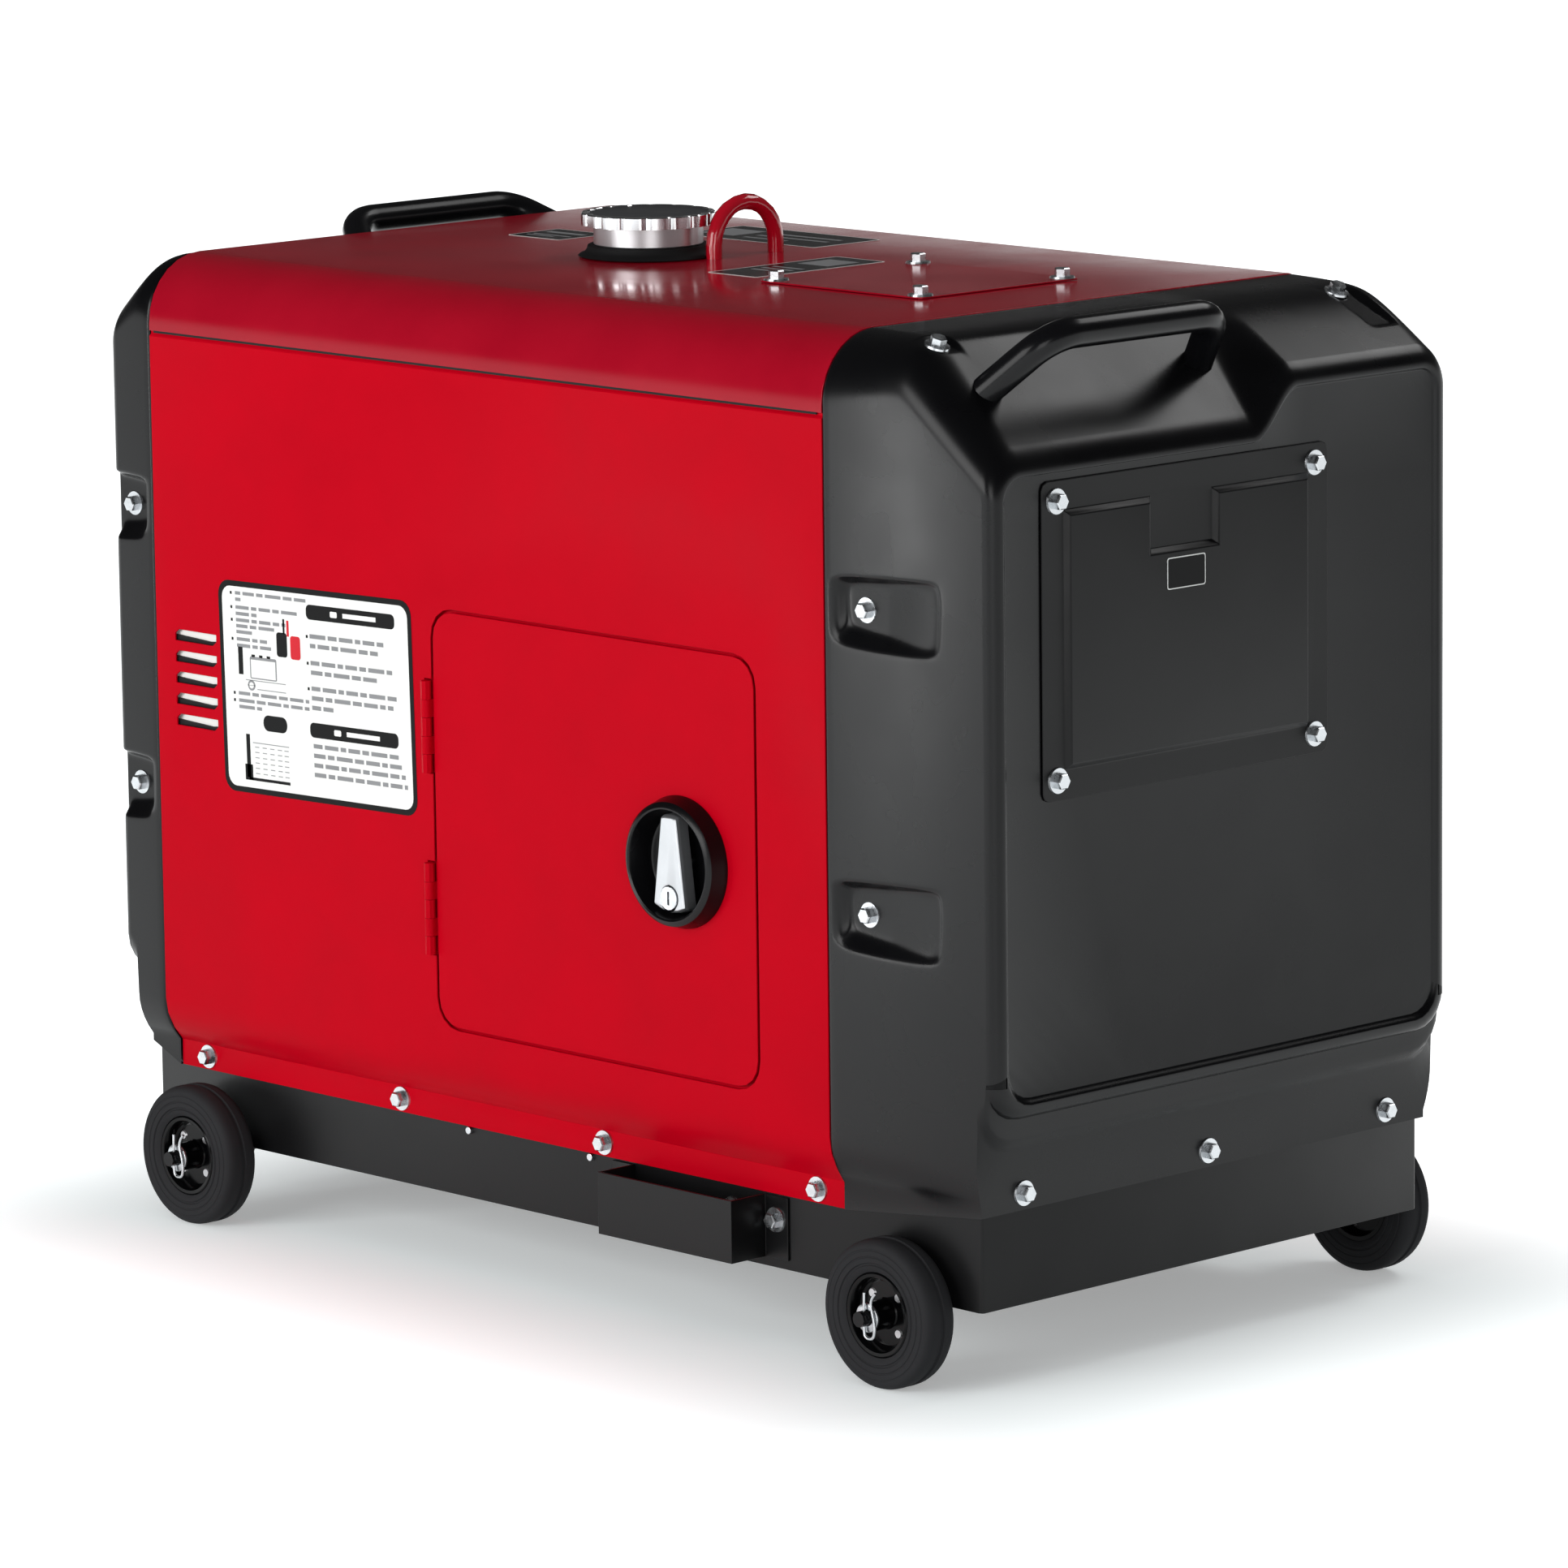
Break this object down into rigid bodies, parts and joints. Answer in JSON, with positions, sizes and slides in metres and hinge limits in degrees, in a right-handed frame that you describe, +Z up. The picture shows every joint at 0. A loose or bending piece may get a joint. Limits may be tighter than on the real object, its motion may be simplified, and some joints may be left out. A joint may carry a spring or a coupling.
{
  "type": "engine driven welder",
  "caption": "Enclosed engine driven welder: red sheet canopy between black end caps on a wheeled tray, with a service door, filler cap, lifting eye, handles and a control panel.",
  "frame": {"origin": "on the floor under the middle of the bounding box", "axes": "+X towards the capped end with the air cleaner cover, +Z up, the service door faces -Y and the control panel +Y"},
  "size_m": [0.9278, 0.544, 0.7684],
  "materials": {
    "black_moulding": "fine grained satin",
    "black_steel": "satin powder coat",
    "brass": "machined",
    "cast_aluminium": "as cast",
    "cast_iron": "painted casting",
    "foam": "open cell foam",
    "gloss_black": "gloss enamel",
    "heat_paint": "matt heat resistant paint",
    "panel_grey": "satin",
    "polished_aluminium": "machined rim, dull skirt",
    "red_paint": "satin powder coat with fine orange peel",
    "rubber": "matt",
    "silver_lever": "satin silver paint",
    "tank_paint": "satin",
    "tyre_rubber": "matt",
    "zinc": "bright zinc plate"
  },
  "bodies": {
    "machine": {"ac_sockets": "gloss_black", "access_plate": "red_paint", "air_cleaner_cover": "black_steel", "air_filter": "gloss_black", "alternator_housing": "cast_aluminium", "axle_front": "black_steel", "axle_rear": "black_steel", "base_tray": "black_steel", "battery": "gloss_black", "control_panel": "panel_grey", "cylinder_head": "cast_aluminium", "door_frame": "red_paint", "drain_guard": "black_steel", "engine_block": "cast_iron", "engine_mounts_front": "rubber", "engine_mounts_rear": "rubber", "exhaust_pipe": "heat_paint", "fan_shroud": "black_steel", "front_cap": "black_moulding", "front_handle": "black_steel", "fuel_tank": "tank_paint", "hairpin_front_left": "zinc", "hairpin_front_right": "zinc", "hairpin_rear_left": "zinc", "hairpin_rear_right": "zinc", "hinge_lower": "red_paint", "hinge_upper": "red_paint", "inner_frame": "black_steel", "instrument_plate": "gloss_black", "lifting_eye": "red_paint", "muffler": "heat_paint", "neck_seal": "rubber", "oil_filter": "gloss_black", "outlet_grille": "black_steel", "rear_cap": "black_moulding", "rear_handle": "black_steel", "side_panel_left": "red_paint", "side_panel_right": "red_paint", "starter_motor": "gloss_black", "top_cover": "red_paint", "weld_sockets": "brass"},
    "door": {"door": "red_paint", "door_liner": "foam", "latch_bezel": "black_moulding"},
    "latch": {"latch_lever": "silver_lever"},
    "lock": {"lock_plug": "zinc"},
    "filler_lift": {"cap_gasket": "rubber"},
    "filler_cap": {"fuel_cap": "polished_aluminium"},
    "engine_shaft": {"crankshaft": "zinc"},
    "weld_knob": {"current_knob": "black_moulding"},
    "ignition": {"ignition_key": "zinc"},
    "breaker": {"breaker_toggle": "black_moulding"},
    "wheel_front_left": {"rim_front_left": "gloss_black", "tyre_front_left": "tyre_rubber"},
    "wheel_front_right": {"rim_front_right": "gloss_black", "tyre_front_right": "tyre_rubber"},
    "wheel_rear_left": {"rim_rear_left": "gloss_black", "tyre_rear_left": "tyre_rubber"},
    "wheel_rear_right": {"rim_rear_right": "gloss_black", "tyre_rear_right": "tyre_rubber"}
  },
  "joints": [
    {"name": "door_hinge", "type": "hinge", "parent": "machine", "child": "door", "pos_m": [-0.103, -0.2402, 0.3396], "axis": [0, 0, -1], "range_deg": [0, 110]},
    {"name": "latch_turn", "type": "hinge", "parent": "door", "child": "latch", "pos_m": [0.161, -0.2377, 0.34], "axis": [0, -1, 0], "range_deg": [0, 90]},
    {"name": "key_turn", "type": "hinge", "parent": "latch", "child": "lock", "pos_m": [0.161, -0.2377, 0.316], "axis": [0, -1, 0], "range_deg": [0, 90]},
    {"name": "cap_lift", "type": "slide", "parent": "machine", "child": "filler_lift", "axis": [0, 0, 1], "range_m": [0, 0.06]},
    {"name": "cap_turn", "type": "hinge", "parent": "filler_lift", "child": "filler_cap", "pos_m": [-0.1296, 0.009, 0.744], "axis": [0, 0, 1], "range_deg": [0, 120]},
    {"name": "wheel_front_left_spin", "type": "hinge", "parent": "machine", "child": "wheel_front_left", "pos_m": [0.3683, -0.2423, 0.0525], "axis": [0, 1, 0], "continuous": true},
    {"name": "wheel_front_right_spin", "type": "hinge", "parent": "machine", "child": "wheel_front_right", "pos_m": [0.3683, 0.2423, 0.0525], "axis": [0, 1, 0], "continuous": true},
    {"name": "wheel_rear_left_spin", "type": "hinge", "parent": "machine", "child": "wheel_rear_left", "pos_m": [-0.3683, -0.2423, 0.0525], "axis": [0, 1, 0], "continuous": true},
    {"name": "wheel_rear_right_spin", "type": "hinge", "parent": "machine", "child": "wheel_rear_right", "pos_m": [-0.3683, 0.2423, 0.0525], "axis": [0, 1, 0], "continuous": true},
    {"name": "shaft_spin", "type": "hinge", "parent": "machine", "child": "engine_shaft", "pos_m": [0, 0, 0.225], "axis": [1, 0, 0], "continuous": true},
    {"name": "current_knob_turn", "type": "hinge", "parent": "machine", "child": "weld_knob", "pos_m": [-0.222, 0.2255, 0.56], "axis": [0, 1, 0], "range_deg": [-135, 135]},
    {"name": "ignition_turn", "type": "hinge", "parent": "machine", "child": "ignition", "pos_m": [-0.14, 0.2255, 0.567], "axis": [0, 1, 0], "range_deg": [0, 60]},
    {"name": "breaker_throw", "type": "hinge", "parent": "machine", "child": "breaker", "pos_m": [-0.14, 0.2288, 0.508], "axis": [1, 0, 0], "range_deg": [0, 50]}
  ]
}
